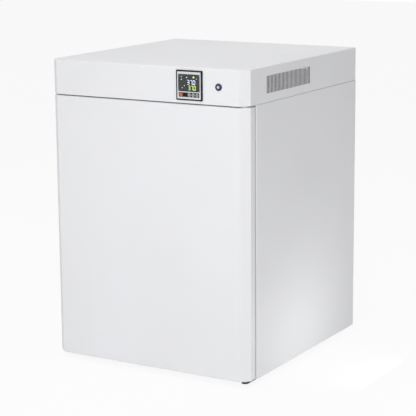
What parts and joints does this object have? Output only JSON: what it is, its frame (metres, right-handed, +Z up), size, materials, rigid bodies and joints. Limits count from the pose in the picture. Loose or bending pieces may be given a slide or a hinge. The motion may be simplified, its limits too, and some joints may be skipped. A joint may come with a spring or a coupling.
{
  "type": "laboratory incubator",
  "caption": "Bench-top water-jacketed incubator: white steel case with a full front door, inner glass door, wire shelves, fan, rear water fittings and a control head on top.",
  "frame": {"origin": "on the floor, under the middle of the overall box", "axes": "+Z up, the doors face -Y, +X to the right as seen from the front; both doors hang on the +X side"},
  "size_m": [0.565, 0.6494, 0.777],
  "materials": {
    "enamel": "smooth semi-gloss stove enamel, off-white with a faint lilac cast",
    "stainless": "fine brushed stainless sheet",
    "stainless_wire": "electropolished wire",
    "zinc": "bright zinc plating",
    "foam": "rigid cut foam",
    "glass": "clear tempered glass, polished edges",
    "gasket_rubber": "light grey soft magnetic gasket",
    "silicone": "translucent white silicone",
    "black_rubber": "matt black rubber",
    "grey_plastic": "light grey moulded plastic",
    "white_nylon": "natural nylon",
    "black_plastic": "fine-grained black moulding",
    "silver_face": "satin silver film",
    "lens": "glossy smoked window with lit digits",
    "orange_key": "satin orange key",
    "grey_key": "satin grey key",
    "navy_plastic": "glossy dark blue",
    "button_lit": "dark cap with a pale translucent middle",
    "aluminium": "cast and turned aluminium",
    "brass": "turned brass",
    "board": "green circuit board with parts",
    "motor_paint": "dark satin paint"
  },
  "bodies": {
    "case": {"case_wrap": "enamel", "rear_panel": "enamel", "rear_screws": "zinc", "front_frame": "stainless", "chamber_liner": "stainless", "water_jacket": "stainless", "case_foam": "foam", "feet": "black_rubber", "upper_hinge_bracket": "zinc", "lower_hinge_bracket": "zinc", "glass_seal": "silicone", "glass_hinge_posts": "stainless", "glass_catch": "black_plastic", "left_rack": "stainless", "right_rack": "stainless", "lower_shelf": "stainless_wire", "middle_shelf": "stainless_wire", "upper_shelf": "stainless_wire", "shaft_tube": "stainless", "shaft_bearings": "white_nylon", "fan_motor": "motor_paint", "fan_cover": "stainless", "heater_element": "stainless_wire", "heater_plate": "stainless", "temperature_probe": "stainless_wire", "level_probe": "brass", "control_head": "enamel", "top_plate": "enamel", "control_board": "board", "heater_relay": "black_plastic", "controller_bezel": "black_plastic", "controller_face": "silver_face", "display_lens": "lens", "controller_housing": "black_plastic", "power_switch": "navy_plastic", "drain_pipe": "stainless", "drain_valve": "brass", "filler_elbow": "stainless", "overflow_pipe": "stainless", "cord_gland": "black_plastic"},
    "outer_door": {"door_skin": "enamel", "door_liner": "stainless", "door_foam": "foam", "door_grip": "grey_plastic", "door_gasket": "gasket_rubber", "door_bushes": "white_nylon"},
    "glass_door": {"glass_pane": "glass", "glass_clips": "aluminium", "glass_knob": "black_plastic"},
    "fan": {"fan_wheel": "aluminium", "fan_shaft": "stainless"},
    "power_button": {"power_button": "button_lit"},
    "set_key": {"set_key": "orange_key"},
    "shift_key": {"shift_key": "grey_key"},
    "down_key": {"down_key": "grey_key"},
    "up_key": {"up_key": "grey_key"},
    "drain_tap": {"valve_ball": "stainless_wire", "valve_lever": "zinc"},
    "filler_cap": {"filler_cap": "black_plastic"}
  },
  "joints": [
    {"name": "outer_door_hinge", "type": "hinge", "parent": "case", "child": "outer_door", "pos_m": [0.2655, -0.3003, 0.015], "axis": [0, 0, 1], "range_deg": [0, 110]},
    {"name": "glass_door_hinge", "type": "hinge", "parent": "case", "child": "glass_door", "pos_m": [0.218, -0.2556, 0.10125], "axis": [0, 0, 1], "range_deg": [0, 90]},
    {"name": "fan_spin", "type": "hinge", "parent": "case", "child": "fan", "pos_m": [0, -0.0411, 0.60125], "axis": [0, 0, 1], "continuous": true},
    {"name": "power_button_press", "type": "slide", "parent": "case", "child": "power_button", "axis": [0, 1, 0], "range_m": [0, 0.002], "stiffness_N_per_m": 900, "springref_m": -0.001},
    {"name": "set_key_press", "type": "slide", "parent": "case", "child": "set_key", "axis": [0, 1, 0], "range_m": [0, 0.0008], "stiffness_N_per_m": 900, "springref_m": -0.0004},
    {"name": "shift_key_press", "type": "slide", "parent": "case", "child": "shift_key", "axis": [0, 1, 0], "range_m": [0, 0.0008], "stiffness_N_per_m": 900, "springref_m": -0.0004},
    {"name": "down_key_press", "type": "slide", "parent": "case", "child": "down_key", "axis": [0, 1, 0], "range_m": [0, 0.0008], "stiffness_N_per_m": 900, "springref_m": -0.0004},
    {"name": "up_key_press", "type": "slide", "parent": "case", "child": "up_key", "axis": [0, 1, 0], "range_m": [0, 0.0008], "stiffness_N_per_m": 900, "springref_m": -0.0004},
    {"name": "drain_lever_turn", "type": "hinge", "parent": "case", "child": "drain_tap", "pos_m": [-0.15, 0.2997, 0.08105], "axis": [0, 0, 1], "range_deg": [0, 90]},
    {"name": "filler_cap_lift", "type": "slide", "parent": "case", "child": "filler_cap", "axis": [0, 0, 1], "range_m": [0, 0.025]}
  ],
  "couplings": [
    {"joint": "glass_door_hinge", "follows": "outer_door_hinge", "ratio": 0.8}
  ]
}
